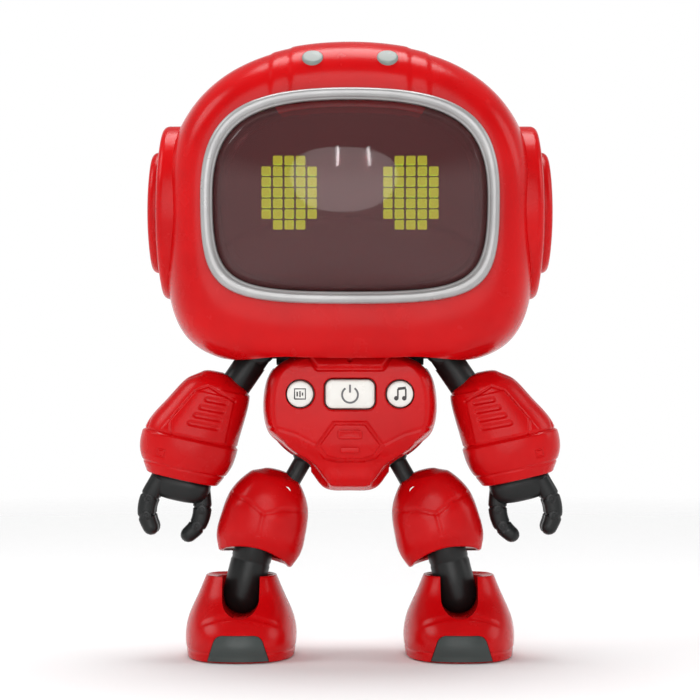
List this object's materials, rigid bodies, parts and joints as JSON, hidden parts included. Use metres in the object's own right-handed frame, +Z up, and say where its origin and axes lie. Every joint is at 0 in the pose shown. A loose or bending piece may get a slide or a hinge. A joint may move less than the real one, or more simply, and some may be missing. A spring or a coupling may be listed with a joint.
{
  "type": "toy robot",
  "caption": "Posable toy robot with a big visored head, pixel eyes, chest buttons, jointed arms with claw hands and jointed legs on broad feet.",
  "frame": {"origin": "on the floor between the feet, under the middle of the head", "axes": "+Z up, the face looks along -Y, +X is the robot's own left; the two sides mirror each other across X = 0"},
  "size_m": [0.0876, 0.052, 0.126],
  "materials": {
    "red_shell": "glossy moulded ABS",
    "joint_black": "satin moulded nylon",
    "silver_trim": "silver paint on moulded plastic",
    "grey_trim": "grey moulded plastic",
    "smoked_lens": "clear smoked polycarbonate",
    "mask_black": "dark printed panel",
    "eye_yellow": "lit yellow-green cells",
    "toe_charcoal": "satin charcoal plastic",
    "sole_red": "semi-gloss moulded ABS",
    "button_white": "glossy white plastic",
    "pad_rubber": "moulded silicone",
    "board_green": "solder-masked board",
    "plated_steel": "zinc plated"
  },
  "bodies": {
    "torso": {"torso_front_shell": "red_shell", "torso_rear_shell": "red_shell", "battery_door": "red_shell", "battery_door_screw": "plated_steel", "torso_screws": "plated_steel", "button_pad": "pad_rubber", "main_board": "board_green", "battery_cells": "plated_steel", "battery_contacts": "plated_steel", "shoulder_yoke": "joint_black", "neck_screw": "plated_steel"},
    "head": {"head_front_shell": "red_shell", "head_rear_shell": "red_shell", "visor_bezel": "silver_trim", "visor_lens": "smoked_lens", "eye_mask_panel": "mask_black", "eye_cells": "eye_yellow", "eye_light_board": "board_green", "speaker": "joint_black", "left_ear_cover": "red_shell", "right_ear_cover": "red_shell", "left_ear_cap": "red_shell", "right_ear_cap": "red_shell", "crown_studs": "grey_trim", "head_screws": "plated_steel"},
    "power_button": {"power_button": "button_white"},
    "music_button": {"music_button": "button_white"},
    "talk_button": {"talk_button": "button_white"},
    "left_shoulder": {"left_shoulder_knuckle": "joint_black"},
    "left_arm": {"left_arm_tube": "joint_black", "left_shoulder_pin": "plated_steel", "left_arm_front_shell": "red_shell", "left_arm_rear_shell": "red_shell"},
    "left_hand": {"left_hand": "joint_black"},
    "left_hip_link": {"left_hip_link": "joint_black"},
    "left_thigh": {"left_thigh_front_shell": "red_shell", "left_thigh_rear_shell": "red_shell", "left_thigh_pins": "plated_steel"},
    "left_shin": {"left_shin_post": "joint_black"},
    "left_foot": {"left_foot_shell": "red_shell", "left_toe_cap": "toe_charcoal", "left_sole_plate": "sole_red", "left_sole_screw": "plated_steel"},
    "right_shoulder": {"right_shoulder_knuckle": "joint_black"},
    "right_arm": {"right_arm_tube": "joint_black", "right_shoulder_pin": "plated_steel", "right_arm_front_shell": "red_shell", "right_arm_rear_shell": "red_shell"},
    "right_hand": {"right_hand": "joint_black"},
    "right_hip_link": {"right_hip_link": "joint_black"},
    "right_thigh": {"right_thigh_front_shell": "red_shell", "right_thigh_rear_shell": "red_shell", "right_thigh_pins": "plated_steel"},
    "right_shin": {"right_shin_post": "joint_black"},
    "right_foot": {"right_foot_shell": "red_shell", "right_toe_cap": "toe_charcoal", "right_sole_plate": "sole_red", "right_sole_screw": "plated_steel"}
  },
  "joints": [
    {"name": "head_turn", "type": "hinge", "parent": "torso", "child": "head", "pos_m": [0, 0, 0.0676], "axis": [0, 0, 1], "range_deg": [-12, 12]},
    {"name": "power_press", "type": "slide", "parent": "torso", "child": "power_button", "axis": [0, 1, 0], "range_m": [0, 0.0008], "stiffness_N_per_m": 600},
    {"name": "music_press", "type": "slide", "parent": "torso", "child": "music_button", "axis": [0, 1, 0], "range_m": [0, 0.0008], "stiffness_N_per_m": 600},
    {"name": "talk_press", "type": "slide", "parent": "torso", "child": "talk_button", "axis": [0, 1, 0], "range_m": [0, 0.0008], "stiffness_N_per_m": 600},
    {"name": "left_shoulder_swing", "type": "hinge", "parent": "torso", "child": "left_shoulder", "pos_m": [0.013, 0, 0.0632], "axis": [-1, 0, 0], "range_deg": [-20, 20]},
    {"name": "left_shoulder_splay", "type": "hinge", "parent": "left_shoulder", "child": "left_arm", "pos_m": [0.0186, 0, 0.0632], "axis": [0, -1, 0], "range_deg": [-3, 10]},
    {"name": "left_wrist_turn", "type": "hinge", "parent": "left_arm", "child": "left_hand", "pos_m": [0.03483, 0, 0.03673], "axis": [0.2164, 0, -0.9763], "range_deg": [-90, 90]},
    {"name": "left_hip_swing", "type": "hinge", "parent": "torso", "child": "left_hip_link", "pos_m": [0.0083, 0, 0.0415], "axis": [1, 0, 0], "range_deg": [-30, 30]},
    {"name": "left_thigh_splay", "type": "hinge", "parent": "left_hip_link", "child": "left_thigh", "pos_m": [0.0132, 0, 0.034], "axis": [0, -1, 0], "range_deg": [-8, 8]},
    {"name": "left_knee_bend", "type": "hinge", "parent": "left_thigh", "child": "left_shin", "pos_m": [0.0198, 0, 0.0224], "axis": [1, 0, 0], "range_deg": [-12, 12]},
    {"name": "left_ankle_roll", "type": "hinge", "parent": "left_shin", "child": "left_foot", "pos_m": [0.0223, 0, 0.0124], "axis": [0, -1, 0], "range_deg": [-10, 20]},
    {"name": "right_shoulder_swing", "type": "hinge", "parent": "torso", "child": "right_shoulder", "pos_m": [-0.013, 0, 0.0632], "axis": [-1, 0, 0], "range_deg": [-20, 20]},
    {"name": "right_shoulder_splay", "type": "hinge", "parent": "right_shoulder", "child": "right_arm", "pos_m": [-0.0186, 0, 0.0632], "axis": [0, 1, 0], "range_deg": [-3, 10]},
    {"name": "right_wrist_turn", "type": "hinge", "parent": "right_arm", "child": "right_hand", "pos_m": [-0.03483, 0, 0.03673], "axis": [-0.2164, 0, -0.9763], "range_deg": [-90, 90]},
    {"name": "right_hip_swing", "type": "hinge", "parent": "torso", "child": "right_hip_link", "pos_m": [-0.0083, 0, 0.0415], "axis": [1, 0, 0], "range_deg": [-30, 30]},
    {"name": "right_thigh_splay", "type": "hinge", "parent": "right_hip_link", "child": "right_thigh", "pos_m": [-0.0132, 0, 0.034], "axis": [0, 1, 0], "range_deg": [-8, 8]},
    {"name": "right_knee_bend", "type": "hinge", "parent": "right_thigh", "child": "right_shin", "pos_m": [-0.0198, 0, 0.0224], "axis": [1, 0, 0], "range_deg": [-12, 12]},
    {"name": "right_ankle_roll", "type": "hinge", "parent": "right_shin", "child": "right_foot", "pos_m": [-0.0223, 0, 0.0124], "axis": [0, 1, 0], "range_deg": [-10, 20]}
  ]
}
